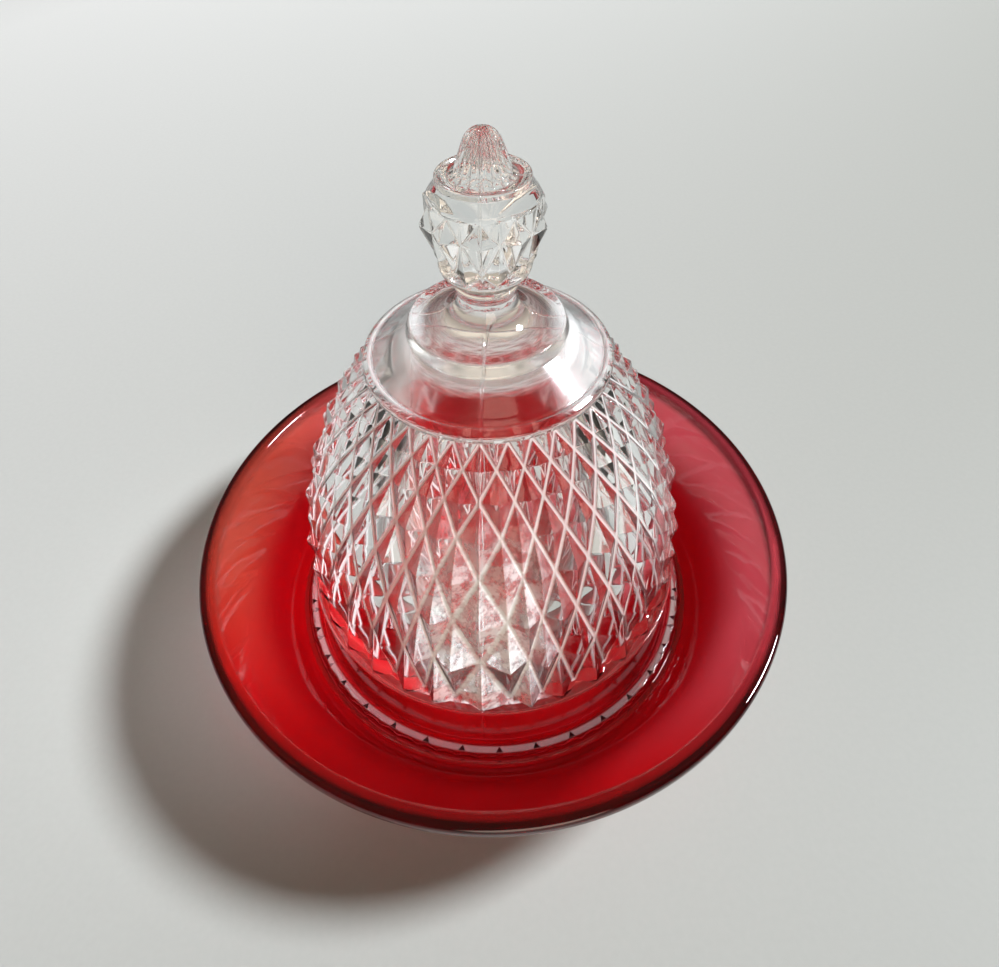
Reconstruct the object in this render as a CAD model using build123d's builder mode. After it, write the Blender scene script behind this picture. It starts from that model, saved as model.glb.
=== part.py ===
from build123d import *

import os

# Round covered butter dish in pressed glass: a flared plate and a domed lid that lifts off it.
# Both pieces are turned about +Z. The origin is the centre of the foot's underside, so z = 0 is the table.

# ---------------------------------------------------------------- driving sizes, in millimetres
# Plate
foot_inset = 4.0            # the foot ring's outer edge lies this far inside the collar
foot_width = 6.0
foot_height = 2.5           # how far the foot ring stands below the plate
floor_thickness = 5.5
collar_height = 4.0         # raised ring that keeps the lid in place
collar_width = 3.6
gutter_width = 2.2          # narrow flat between the collar and the wall
gutter_drop = 2.6           # how far the gutter lies below the collar's top
wall_run = 7.0              # steep wall of the well, outwards
wall_rise = 12.5            # and upwards
brim_run = 19.2             # broad flare of the brim, outwards to the rim's edge
brim_rise = 18.1            # and upwards
glass_thickness = 4.6       # across the wall
rim_width = 4.6             # flat top of the rim, before it is rounded
rim_lip = 3.4               # outer face of the rim, before it is rounded

# Lid
lid_base_radius = 59.2      # outside of the lid where it stands on the plate
band_height = 20.5          # plain band, up to the start of the diamond relief
band_taper = 1.0            # the band is this much narrower at its top
belt_height = 11.5          # upright part of the bell above the band
bell_height = 70.5          # arched part of the bell, from the belt to the crown ring
crown_radius = 31.5         # ring at the top of the diamond relief
lid_wall = 4.2              # across the band and the bell
crown_wall = 3.4            # at the crown ring, both inwards and downwards
crown_thickness = 6.0       # solid glass from the top of the hollow up to the step
shoulder_rise = 8.3         # smooth shoulder between the crown ring and the step
step_radius = 20.5
step_height = 3.2
step_lean = 0.8             # the step is this much narrower at its top
step_flat = 1.4             # flat on top of the step before the flare begins

# Finial
flare_rise = 8.8            # hollow curve from the step up to the neck
neck_radius = 7.2
neck_length = 3.2
ball_radius = 13.3          # across the waist of the ball
ball_base_radius = 8.6
ball_below = 14.0           # ball below its waist
ball_above = 8.0            # and above it
cap_radius = 9.3            # flat-topped rim above the ball
cap_height = 3.8
tip_radius = 6.2            # fluted tip, where it meets the rim
tip_top_radius = 4.0        # where its domed top begins
tip_height = 7.4            # up to the domed top
dome_height = 2.8
tip_flutes = 18
flute_radius = 0.7

# Fits
seat_clearance = 0.8        # between the lid's base and the collar, all round

# Roundings of the pressed glass
corner = 0.8
wall_blend = 7.0            # the bends at the foot and the top of the wall
rim_rounding = 1.5
fine_corner = 0.5           # on the lid

# ---------------------------------------------------------------- heights and radii that follow
floor_z = foot_height + floor_thickness
collar_inner = lid_base_radius + seat_clearance
collar_outer = collar_inner + collar_width
foot_radius = collar_inner - foot_inset
collar_z = floor_z + collar_height
gutter_outer = collar_outer + gutter_width
gutter_z = collar_z - gutter_drop
bend_radius = gutter_outer + wall_run
bend_z = gutter_z + wall_rise
rim_radius = bend_radius + brim_run
rim_z = bend_z + brim_rise

band_top_radius = lid_base_radius - band_taper
band_z = floor_z + band_height
belt_z = band_z + belt_height
crown_z = belt_z + bell_height
step_z = crown_z + shoulder_rise
disc_z = step_z + step_height
disc_radius = step_radius - step_lean
neck_z = disc_z + flare_rise
ball_z = neck_z + neck_length
waist_z = ball_z + ball_below
cap_z = waist_z + ball_above
tip_z = cap_z + cap_height
dome_z = tip_z + tip_height
top_z = dome_z + dome_height

hollow_radius = band_top_radius - lid_wall
hollow_crown = (crown_radius - crown_wall, crown_z - crown_wall)
hollow_top = (0, step_z - crown_thickness)

# ---------------------------------------------------------------- plate
wall_slope = Vector(wall_run, wall_rise).normalized()
wall_underside = Vector(bend_radius, bend_z) + Vector(wall_slope.Y, -wall_slope.X) * glass_thickness

# Half section as (x, z, rounding), from the axis out under the foot to the rim and back over the top.
plate_outline = [
    (0, foot_height, 0),
    (foot_radius - foot_width, foot_height, corner),
    (foot_radius - foot_width, 0, corner),
    (foot_radius, 0, corner),
    (foot_radius, foot_height, corner),
    (collar_outer, foot_height, wall_blend),
    (wall_underside.X, wall_underside.Y, wall_blend),
    (rim_radius, rim_z - rim_lip, rim_rounding),
    (rim_radius, rim_z, rim_rounding),
    (rim_radius - rim_width, rim_z, rim_rounding),
    (bend_radius, bend_z, wall_blend),
    (gutter_outer, gutter_z, corner),
    (collar_outer, gutter_z, corner),
    (collar_outer, collar_z, corner),
    (collar_inner, collar_z, corner),
    (collar_inner, floor_z, corner),
    (0, floor_z, 0),
]
with BuildPart() as plate:
    with BuildSketch(Plane.XZ):
        with BuildLine():
            FilletPolyline(
                *[(x, z) for x, z, _ in plate_outline],
                radius=[rounding for _, _, rounding in plate_outline[1:-1]],
            )
            Line((0, floor_z), (0, foot_height))
        make_face()
    revolve(axis=Axis.Z)
plate.part.label = "plate"

# ---------------------------------------------------------------- fluted tip, part of the lid
flute_run = Vector(tip_top_radius - tip_radius, 0, dome_z - tip_z)
flute_plane = Plane(origin=(tip_radius, 0, tip_z), z_dir=flute_run)

with BuildPart() as tip:
    with BuildSketch(Plane.XZ):
        with BuildLine():
            Polyline((0, top_z), (0, tip_z), (tip_radius, tip_z), (tip_top_radius, dome_z))
            TangentArc((0, top_z), (tip_top_radius, dome_z), tangent=(1, 0))
        make_face()
    revolve(axis=Axis.Z)
    with BuildSketch(flute_plane) as flute_section:
        Circle(flute_radius)
    flute = extrude(flute_section.sketch, amount=flute_run.length + dome_height, mode=Mode.PRIVATE)
    with PolarLocations(0, tip_flutes):
        add(flute, mode=Mode.SUBTRACT)

# ---------------------------------------------------------------- lid
with BuildPart() as lid:
    with BuildSketch(Plane.XZ):
        with BuildLine():
            Polyline((lid_base_radius, floor_z), (band_top_radius, band_z), (band_top_radius, belt_z))
            TangentArc((band_top_radius, belt_z), (crown_radius, crown_z), tangent=(0, 1))
            Polyline(
                (crown_radius, crown_z),
                (step_radius, step_z),
                (disc_radius, disc_z),
                (disc_radius - step_flat, disc_z),
            )
            TangentArc((neck_radius, neck_z), (disc_radius - step_flat, disc_z), tangent=(0, -1))
            Polyline((neck_radius, neck_z), (neck_radius, ball_z), (ball_base_radius, ball_z))
            TangentArc((ball_radius, waist_z), (ball_base_radius, ball_z), tangent=(0, -1))
            TangentArc((ball_radius, waist_z), (cap_radius, cap_z), tangent=(0, 1))
            Polyline(
                (cap_radius, cap_z),
                (cap_radius, tip_z),
                (0, tip_z),
                (0, floor_z),
                (lid_base_radius, floor_z),
            )
        make_face()
    revolve(axis=Axis.Z)
    with BuildSketch(Plane.XZ):
        with BuildLine():
            Polyline(
                hollow_top,
                (0, floor_z),
                (lid_base_radius - lid_wall, floor_z),
                (hollow_radius, band_z),
                (hollow_radius, belt_z),
            )
            TangentArc((hollow_radius, belt_z), hollow_crown, tangent=(0, 1))
            TangentArc(hollow_top, hollow_crown, tangent=(1, 0))
        make_face()
    revolve(axis=Axis.Z, mode=Mode.SUBTRACT)
    rims = lid.edges().filter_by(GeomType.CIRCLE)
    fillet(rims.filter_by_position(Axis.Z, floor_z, floor_z), fine_corner)
    fillet(rims.filter_by_position(Axis.Z, disc_z, disc_z).sort_by(SortBy.RADIUS)[-1], fine_corner)
    fillet(rims.filter_by_position(Axis.Z, tip_z, tip_z), fine_corner)
    add(tip.part)
lid.part.label = "lid"

# ---------------------------------------------------------------- files
os.makedirs("parts", exist_ok=True)
export_step(plate.part, "parts/plate.step")
export_step(lid.part, "parts/lid.step")
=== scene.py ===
"""Covered butter dish in pressed glass: a ruby-stained plate and a clear domed lid with diamond relief.

Sizes in the classes are millimetres. They become metres where a mesh is made, in the CAD model's own frame.
"""
import logging
import math
from dataclasses import dataclass, field
from enum import Enum
from typing import Any, Iterable, Sequence

import bmesh
import bpy
from mathutils import Matrix, Vector


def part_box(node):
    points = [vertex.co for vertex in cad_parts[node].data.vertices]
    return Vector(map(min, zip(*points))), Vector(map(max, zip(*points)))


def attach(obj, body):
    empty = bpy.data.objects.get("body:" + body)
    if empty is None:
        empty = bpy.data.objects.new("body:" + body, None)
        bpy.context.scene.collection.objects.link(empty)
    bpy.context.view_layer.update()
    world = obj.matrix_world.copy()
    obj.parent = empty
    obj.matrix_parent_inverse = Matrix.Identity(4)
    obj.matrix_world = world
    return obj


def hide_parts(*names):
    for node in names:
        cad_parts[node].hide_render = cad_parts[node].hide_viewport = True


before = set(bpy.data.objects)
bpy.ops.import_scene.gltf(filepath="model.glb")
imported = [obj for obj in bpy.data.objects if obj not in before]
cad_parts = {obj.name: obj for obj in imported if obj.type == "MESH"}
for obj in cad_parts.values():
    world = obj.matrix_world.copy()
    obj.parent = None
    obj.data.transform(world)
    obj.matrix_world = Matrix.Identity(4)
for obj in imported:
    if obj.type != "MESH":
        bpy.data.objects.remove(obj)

LOG = logging.getLogger("butter_dish")
MM = 0.001
Point = tuple[float, float]  # radius and height
Corner = tuple[float, float, float]  # radius, height and rounding


class Body(Enum):
    """The two bodies that the pieces ride on, which are also the names of their CAD nodes."""

    PLATE = "plate"
    LID = "lid"


class Slot(Enum):
    """Material slots of the record."""

    CLEAR = "clear_glass"
    RUBY = "ruby_glass"


# ---------------------------------------------------------------- colours and nodes


def hex_linear(code: str) -> tuple[float, float, float, float]:
    """Turns an sRGB hex colour to linear light.

    Args:
        code: Six hex digits after a hash.

    Returns:
        Linear red, green and blue, and an alpha of one.
    """
    parts = [int(code[i : i + 2], 16) / 255 for i in (1, 3, 5)]
    red, green, blue = (c / 12.92 if c <= 0.04045 else ((c + 0.055) / 1.055) ** 2.4 for c in parts)
    return red, green, blue, 1.0


def add_node(tree: bpy.types.NodeTree, kind: str, *links: Any, **settings: Any) -> bpy.types.Node:
    """Adds a node with its settings, values and links.

    Args:
        tree: The shader or geometry tree that gets the node.
        kind: The node's type name.
        *links: Values, sockets or nodes for the first inputs, in order. None leaves an input alone.
        **settings: The node's own settings. The key "sockets" holds a dict of input name to value or socket.

    Returns:
        The new node.
    """
    node = tree.nodes.new(kind)
    sockets = settings.pop("sockets", {})
    for key, value in settings.items():
        setattr(node, key, value)
    for key, value in [*enumerate(links), *sockets.items()]:
        if value is None:
            continue
        if isinstance(value, bpy.types.Node):
            value = value.outputs[0]
        if isinstance(value, bpy.types.NodeSocket):
            tree.links.new(value, node.inputs[key])
        else:
            node.inputs[key].default_value = value
    return node


# ---------------------------------------------------------------- finishes


@dataclass(frozen=True)
class GlassPlace:
    """Sockets that say where on a piece the glass is, in the piece's own metres."""

    whole: bpy.types.NodeSocket
    x: bpy.types.NodeSocket
    y: bpy.types.NodeSocket
    z: bpy.types.NodeSocket
    radius: bpy.types.NodeSocket
    patches: bpy.types.Node

    @classmethod
    def on(cls, tree: bpy.types.NodeTree, patch_size: float) -> "GlassPlace":
        """Adds the nodes that find the place.

        Args:
            tree: The material's tree.
            patch_size: Width of the slow patches in the glass, in millimetres.

        Returns:
            The place, its radius from the axis, and the patches.
        """
        whole = add_node(tree, "ShaderNodeTexCoord").outputs["Object"]
        flat = add_node(tree, "ShaderNodeVectorMath", whole, (1.0, 1.0, 0.0), operation="MULTIPLY")
        radius = add_node(tree, "ShaderNodeVectorMath", flat, operation="LENGTH").outputs["Value"]
        patches = add_node(
            tree, "ShaderNodeTexNoise",
            sockets={"Vector": whole, "Scale": 1 / (patch_size * MM), "Detail": 3.0, "Roughness": 0.5},
        )
        return cls(whole, *add_node(tree, "ShaderNodeSeparateXYZ", whole).outputs, radius, patches)


@dataclass(frozen=True)
class PressedGlass:
    """Soda-lime glass pressed in an iron mould and fire-polished, clear or ruby-stained in places.

    The mould leaves a faint waviness and fine seams that bend what shows through, and fire polishing leaves the
    surface wet-bright. The stain is a thin film that colours each pass of light through it. Where it is darker in
    the well, in front and at the rim, or warmer and milkier on one side, that is painted shade and painted light.
    The valleys between the diamonds get a pale painted highlight line, the faces near the front a speckled painted
    highlight, and the sides of the shoulder a painted sheen over a soft frost. Thick glass seen along its surface
    is painted dark, a painted shade.

    Lengths are millimetres. A field named "between" holds where a change starts and where it is complete.
    """

    name: str
    ior: float = 1.52

    # Stain: its colours, and where it lies. The warm, front, floor and well colours are painted light and shade.
    # The rim colour is stain pooled at the rim with painted shade, and it also paints the notches' shade.
    clear: str = "#FCFDFC"
    stain: str = "#F04650"
    # Painted light: the left side's colour, warmer as if lit.
    painted_warm_light: str = "#CC4C3A"
    # Painted shade: deeper red in front and on the floor inside the collar.
    painted_front_floor_shade: str = "#D20A12"
    # Painted shade in the well. The random patches also lean to this colour.
    well_shade_and_patch_tone: str = "#A00810"
    # Near black: stain pooled at the rim with painted shade of the rim seen edge-on. It is also the notches'
    # painted shade.
    rim_and_notch_shade: str = "#240208"
    stain_below: float | None = None
    stain_outside: float = 0.0
    stain_blur: float = 0.15
    clear_ring: Point | None = None
    ring_film: float = 0.35
    ring_marks: int = 36
    mark_widths: Point = (0.02, 0.3)
    # Where the well's painted shade starts and is complete.
    well_shade_between: Point | None = None
    floor_between: Point = (57.0, 63.0)
    floor_share: float = 0.85
    middle_between: Point = (64.0, 56.0)
    # Which side is painted a deeper shade, where that starts and is complete, and how much.
    painted_shade_side: tuple[float, float, float] = (-0.2, -0.98, 0.0)
    painted_shade_side_between: Point = (15.0, 75.0)
    painted_shade_side_share: float = 0.95
    # Where the left side's painted warm light starts and is complete.
    painted_warm_between: Point = (-20.0, -80.0)
    # Where the rim's painted shade starts and is complete.
    rim_shade_between: Point | None = None
    patch_size: float = 30.0
    patch_between: Point = (0.35, 0.65)
    patch_strength: float = 0.2

    # How much light passes the clear and the stained glass, and how much less on the left side, which is made
    # milky so that it looks lit: a painted light.
    passed: float = 1.0
    passed_stained: float = 1.0
    painted_lit_side: float = 0.12

    # Polish, waviness and mould seams.
    roughness: float = 0.012
    smear_between: Point = (0.3, 0.7)
    smear_shares: Point = (0.5, 1.6)
    wave_size: float = 9.0
    wave_depth: float = 0.05
    seam_angle: float | None = None
    seam_width: float = 0.9
    seam_height: float = 0.16

    # Painted highlights of the relief, painted sheen and frost of the shoulder, and painted shade on grazing
    # edges.
    # The relief is 1 in the valleys, less towards the tips, and 0 on plain glass.
    # Painted highlight: the valleys are whitened.
    valley_painted_highlight: float = 0.0
    valley_between: Point = (0.87, 0.965)
    valley_roughness: float = 0.3
    # Painted highlight: the faces near the seam, in front only, are whitened in specks.
    front_painted_highlight: float = 0.0
    facet_between: Point = (0.02, 0.1)
    face_beside: Point = (14.0, 44.0)
    face_up_to: Point = (66.0, 104.0)
    front_between: Point = (-10.0, -30.0)
    grain_size: float = 4.0
    grain_between: Point = (0.42, 0.56)
    grain_least: float = 0.25
    # Painted sheen: the shoulder's left and right sides are whitened.
    shoulder_painted_sheen: float = 0.0
    shoulder_beside: Point = (22.0, 14.0)
    shoulder_from: float = 111.5
    shoulder_up_to: float = 120.5
    shoulder_waves: float = 3.0
    shoulder_lines: float = 0.25
    shoulder_haze: float = 0.13
    # Painted shade: glass seen grazing is coloured near black.
    grazing_painted_shade: float = 0.0
    grazing_shade_colour: str = "#0A0B0A"
    grazing_between: Point = (0.55, 0.78)

    def material(self) -> bpy.types.Material:
        """Builds the node material.

        Returns:
            The glass with its stain, waviness, seams and satin.
        """
        made = bpy.data.materials.new(self.name)
        made.use_nodes = True
        tree = made.node_tree
        tree.nodes.clear()
        at = GlassPlace.on(tree, self.patch_size)
        lean: Any = None
        if self.well_shade_between is not None:
            # From 0 to 1 towards the left side, which gets painted warm light and painted milkiness.
            lean = add_node(tree, "ShaderNodeMapRange", at.x, *(limit * MM for limit in self.painted_warm_between))
        stained = self.stained_part(tree, at)
        colour = self.colour(tree, at, stained, lean)
        off_seam = self.off_seam(tree, at)
        bump = add_node(
            tree, "ShaderNodeBump",
            sockets={"Strength": 1.0, "Distance": 1.0, "Height": self.surface(tree, at, off_seam)},
        )
        haze = add_node(
            tree, "ShaderNodeMapRange", at.patches, *self.smear_between,
            *(self.roughness * share for share in self.smear_shares),
        )
        through = add_node(tree, "ShaderNodeMapRange", stained, 0.0, 1.0, self.passed, self.passed_stained)
        if lean is not None:
            # Painted light: the left side lets less light through and turns milky, so that it looks lit.
            painted_lit_milk = add_node(tree, "ShaderNodeMath", lean, self.painted_lit_side, operation="MULTIPLY")
            through = add_node(tree, "ShaderNodeMath", through, painted_lit_milk, operation="SUBTRACT", use_clamp=True)
        if self.valley_painted_highlight:
            through, haze = self.painted_highlights(tree, at, off_seam, through, haze)
        glass = add_node(
            tree, "ShaderNodeBsdfPrincipled",
            sockets={
                "Base Color": colour, "Roughness": haze, "IOR": self.ior, "Transmission Weight": through,
                "Normal": bump,
            },
        )
        add_node(tree, "ShaderNodeOutputMaterial", glass)
        return made

    def stained_part(self, tree: bpy.types.NodeTree, at: GlassPlace) -> Any:
        """Masks the stain, which is a low band outside a radius, or all of the glass but a ring.

        Args:
            tree: The material's tree.
            at: Where on the piece the glass is.

        Returns:
            A value or node from 0 for clear glass to 1 for stained.
        """
        if self.stain_below is not None:
            low = add_node(
                tree, "ShaderNodeMapRange", at.z,
                (self.stain_below + self.stain_blur) * MM, (self.stain_below - self.stain_blur) * MM,
            )
            out = add_node(
                tree, "ShaderNodeMapRange", at.radius,
                (self.stain_outside - 0.4) * MM, (self.stain_outside + 0.1) * MM,
            )
            return add_node(tree, "ShaderNodeMath", low, out, operation="MULTIPLY")
        return 1.0 if self.clear_ring is None else self.off_ring(tree, at, self.ring_film, 1.0)

    def off_ring(self, tree: bpy.types.NodeTree, at: GlassPlace, within: float, beside: float) -> bpy.types.Node:
        """Tells the clear ring from the glass beside it.

        Args:
            tree: The material's tree.
            at: Where on the piece the glass is.
            within: Value on the ring.
            beside: Value off the ring.

        Returns:
            The node that gives the value.
        """
        inner, outer = self.clear_ring
        half, blur = (outer - inner) / 2 * MM, 0.2 * MM
        away = add_node(tree, "ShaderNodeMath", at.radius, (inner + outer) / 2 * MM, operation="SUBTRACT")
        away = add_node(tree, "ShaderNodeMath", away, operation="ABSOLUTE")
        return add_node(tree, "ShaderNodeMapRange", away, half - blur, half + blur, within, beside)

    def painted_notch_shade(self, tree: bpy.types.NodeTree, at: GlassPlace) -> bpy.types.Node:
        """Masks the small notches of the clear ring, which widen outwards and are painted dark, a painted shade.

        Args:
            tree: The material's tree.
            at: Where on the piece the glass is.

        Returns:
            A node that gives 1 in a notch and 0 beside it.
        """
        spoke = add_node(tree, "ShaderNodeMath", at.y, at.x, operation="ARCTAN2")
        for value, operation in ((self.ring_marks / 2, "MULTIPLY"), (None, "SINE"), (None, "ABSOLUTE")):
            spoke = add_node(tree, "ShaderNodeMath", spoke, value, operation=operation)
        wedge = add_node(
            tree, "ShaderNodeMapRange", at.radius, *(limit * MM for limit in self.clear_ring), *self.mark_widths
        )
        notch = add_node(tree, "ShaderNodeMath", spoke, wedge, operation="LESS_THAN")
        return add_node(tree, "ShaderNodeMath", notch, self.off_ring(tree, at, 1.0, 0.0), operation="MULTIPLY")

    def film(self, tree: bpy.types.NodeTree, at: GlassPlace, lean: bpy.types.Node) -> Any:
        """Colours the stain, which is deep in the well and in front, warm on one side and dark at the rim.

        Args:
            tree: The material's tree.
            at: Where on the piece the glass is.
            lean: From 0 to 1 towards the left side, which is painted warmer, as if lit.

        Returns:
            The stain's colour, as a value or a socket.
        """
        stain: Any = hex_linear(self.stain)
        if self.well_shade_between is not None:
            # Painted shade in the well, a little less on the floor.
            well_shade = add_node(
                tree, "ShaderNodeMapRange", at.radius, *(limit * MM for limit in self.well_shade_between),
                interpolation_type="SMOOTHSTEP",
            )
            share = add_node(
                tree, "ShaderNodeMapRange", at.radius, *(limit * MM for limit in self.floor_between),
                self.floor_share, 1.0, interpolation_type="SMOOTHSTEP",
            )
            well_shade = add_node(tree, "ShaderNodeMath", well_shade, share, operation="MULTIPLY")
            # Painted shade: deeper towards the front, and on the floor inside the collar.
            side = add_node(tree, "ShaderNodeVectorMath", at.whole, self.painted_shade_side, operation="DOT_PRODUCT")
            side = add_node(
                tree, "ShaderNodeMapRange", side.outputs["Value"],
                *(limit * MM for limit in self.painted_shade_side_between), 0.0, self.painted_shade_side_share,
                interpolation_type="SMOOTHSTEP",
            )
            middle = add_node(
                tree, "ShaderNodeMapRange", at.radius, *(limit * MM for limit in self.middle_between)
            )
            side = add_node(tree, "ShaderNodeMath", side, middle, operation="MAXIMUM")
            # Painted warm light on the left, then painted shade in front and on the floor, then painted shade in
            # the well.
            for amount, other in ((lean, self.painted_warm_light), (side, self.painted_front_floor_shade), (well_shade, self.well_shade_and_patch_tone)):
                stain = add_node(
                    tree, "ShaderNodeMix", data_type="RGBA", sockets={0: amount, 6: stain, 7: hex_linear(other)}
                ).outputs[2]
        if self.rim_shade_between is not None:
            # Painted shade at the rim, over stain pooled there.
            edge = add_node(
                tree, "ShaderNodeMapRange", at.radius, *(limit * MM for limit in self.rim_shade_between)
            )
            stain = add_node(
                tree, "ShaderNodeMix", data_type="RGBA",
                sockets={0: edge, 6: stain, 7: hex_linear(self.rim_and_notch_shade)},
            ).outputs[2]
        return stain

    def colour(
        self, tree: bpy.types.NodeTree, at: GlassPlace, stained: Any, lean: bpy.types.Node
    ) -> bpy.types.NodeSocket:
        """Colours the glass.

        Args:
            tree: The material's tree.
            at: Where on the piece the glass is.
            stained: From 0 for clear glass to 1 for stained.
            lean: From 0 to 1 towards the left side, which is painted warmer, as if lit.

        Returns:
            The colour socket.
        """
        weight = add_node(
            tree, "ShaderNodeMapRange", at.patches, *self.patch_between, 0.0, self.patch_strength
        )
        # Each layer: its share, what lies under it and what lies over it. None is the colour made so far.
        layers = [
            (weight, self.film(tree, at, lean), hex_linear(self.well_shade_and_patch_tone)),
            (stained, hex_linear(self.clear), None),
        ]
        if self.clear_ring is not None:
            # Painted shade in the ring's notches.
            layers.append((self.painted_notch_shade(tree, at), None, hex_linear(self.rim_and_notch_shade)))
        if self.grazing_painted_shade:
            # Painted shade where the glass is seen grazing.
            grazing = add_node(tree, "ShaderNodeLayerWeight", 0.5).outputs["Facing"]
            grazing_shade = add_node(
                tree, "ShaderNodeMapRange", grazing, *self.grazing_between, 0.0, self.grazing_painted_shade,
                interpolation_type="SMOOTHSTEP",
            )
            layers.append((grazing_shade, None, hex_linear(self.grazing_shade_colour)))
        colour: Any = None
        for share, under, over in layers:
            colour = add_node(
                tree, "ShaderNodeMix", data_type="RGBA",
                sockets={0: share, 6: under or colour, 7: over or colour},
            ).outputs[2]
        return colour

    def off_seam(self, tree: bpy.types.NodeTree, at: GlassPlace) -> bpy.types.Node | None:
        """Measures how far a point is from the nearest of the four mould seams, or returns None without seams."""
        if self.seam_angle is None:
            return None
        turn = add_node(tree, "ShaderNodeMath", at.y, at.x, operation="ARCTAN2")
        for value, operation in (
            (self.seam_angle, "SUBTRACT"), (2.0, "MULTIPLY"), (None, "SINE"), (None, "ABSOLUTE"),
            (at.radius, "MULTIPLY"),
        ):
            turn = add_node(tree, "ShaderNodeMath", turn, value, operation=operation)
        return turn

    def surface(self, tree: bpy.types.NodeTree, at: GlassPlace, off_seam: Any) -> bpy.types.Node:
        """Raises the waves of the pressed surface, which are stronger on the shoulder, and the mould seams.

        Args:
            tree: The material's tree.
            at: Where on the piece the glass is.
            off_seam: Distance from the nearest seam, or None.

        Returns:
            The node that gives the height in metres.
        """
        waves = add_node(
            tree, "ShaderNodeTexNoise",
            sockets={"Vector": at.whole, "Scale": 1 / (self.wave_size * MM), "Detail": 2.0, "Roughness": 0.4},
        )
        swell = add_node(
            tree, "ShaderNodeMapRange", at.z, self.shoulder_from * MM, (self.shoulder_from + 2) * MM,
            self.wave_depth * MM, self.wave_depth * self.shoulder_waves * MM,
        )
        height = add_node(tree, "ShaderNodeMath", waves, swell, operation="MULTIPLY")
        if off_seam is None:
            return height
        seam = add_node(
            tree, "ShaderNodeMapRange", off_seam, 0.0, self.seam_width * MM, self.seam_height * MM, 0.0,
            interpolation_type="SMOOTHSTEP",
        )
        return add_node(tree, "ShaderNodeMath", height, seam, operation="ADD")

    def painted_highlights(
        self, tree: bpy.types.NodeTree, at: GlassPlace, off_seam: Any, through: Any, haze: Any
    ) -> tuple[bpy.types.Node, bpy.types.Node]:
        """Lays painted highlights: whitened valleys, whiter specks on the faces near the front seam, and a painted
        sheen on the sides of the shoulder, where it also adds frost.

        Args:
            tree: The material's tree.
            at: Where on the piece the glass is.
            off_seam: Distance from the nearest seam.
            through: How much light passes without the painted highlights.
            haze: How rough the glass is without it.

        Returns:
            How much light passes, and how rough the glass is.
        """
        relief = add_node(tree, "ShaderNodeAttribute", attribute_name="relief").outputs["Fac"]
        # Painted highlight: the valleys let less light through and turn white.
        valley = add_node(tree, "ShaderNodeMapRange", relief, *self.valley_between)
        bell = add_node(
            tree, "ShaderNodeMapRange", at.z, self.shoulder_from * MM, (self.shoulder_from + 2) * MM,
            1.0, self.shoulder_lines,
        )
        valley = add_node(tree, "ShaderNodeMath", valley, bell, operation="MULTIPLY")
        loss = add_node(tree, "ShaderNodeMath", valley, self.valley_painted_highlight, operation="MULTIPLY")
        through = add_node(tree, "ShaderNodeMath", through, loss, operation="SUBTRACT", use_clamp=True)
        rough = add_node(tree, "ShaderNodeMath", valley, self.valley_roughness, operation="MULTIPLY")
        above = add_node(
            tree, "ShaderNodeMapRange", at.z, self.shoulder_from * MM, (self.shoulder_from + 1) * MM
        )
        below = add_node(
            tree, "ShaderNodeMapRange", at.z, self.shoulder_up_to * MM, (self.shoulder_up_to - 1) * MM
        )
        frost = add_node(tree, "ShaderNodeMath", above, below, operation="MULTIPLY")
        frost = add_node(tree, "ShaderNodeMath", frost, self.shoulder_haze, operation="MULTIPLY")
        for more in (rough, frost):
            haze = add_node(tree, "ShaderNodeMath", haze, more, operation="ADD")

        # Painted highlight on the front faces near the seam, in specks, and painted sheen on the shoulder's sides.
        grain = add_node(
            tree, "ShaderNodeTexNoise",
            sockets={"Vector": at.whole, "Scale": 1 / (self.grain_size * MM), "Detail": 6.0, "Roughness": 0.7},
        )
        grain = add_node(tree, "ShaderNodeMapRange", grain, *self.grain_between, self.grain_least, 1.0)
        facet = add_node(tree, "ShaderNodeMapRange", relief, *self.facet_between)
        front = add_node(tree, "ShaderNodeMapRange", at.y, *(limit * MM for limit in self.front_between))
        aside = add_node(tree, "ShaderNodeMath", at.x, operation="ABSOLUTE")
        shoulder = (self.shoulder_from + 1, self.shoulder_from)
        for amount, distance, beside, up_to, masks in (
            (self.front_painted_highlight, off_seam, self.face_beside, self.face_up_to, (facet, front, grain)),
            (self.shoulder_painted_sheen, aside, self.shoulder_beside, shoulder, ()),
        ):
            painted_whitening = add_node(
                tree, "ShaderNodeMapRange", distance, *(limit * MM for limit in beside), amount, 0.0,
                interpolation_type="SMOOTHSTEP",
            )
            level = add_node(
                tree, "ShaderNodeMapRange", at.z, *(limit * MM for limit in up_to), 1.0, 0.0,
                interpolation_type="SMOOTHSTEP",
            )
            for mask in (level, *masks):
                painted_whitening = add_node(tree, "ShaderNodeMath", painted_whitening, mask, operation="MULTIPLY")
            through = add_node(tree, "ShaderNodeMath", through, painted_whitening, operation="SUBTRACT", use_clamp=True)
        return through, haze


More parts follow.
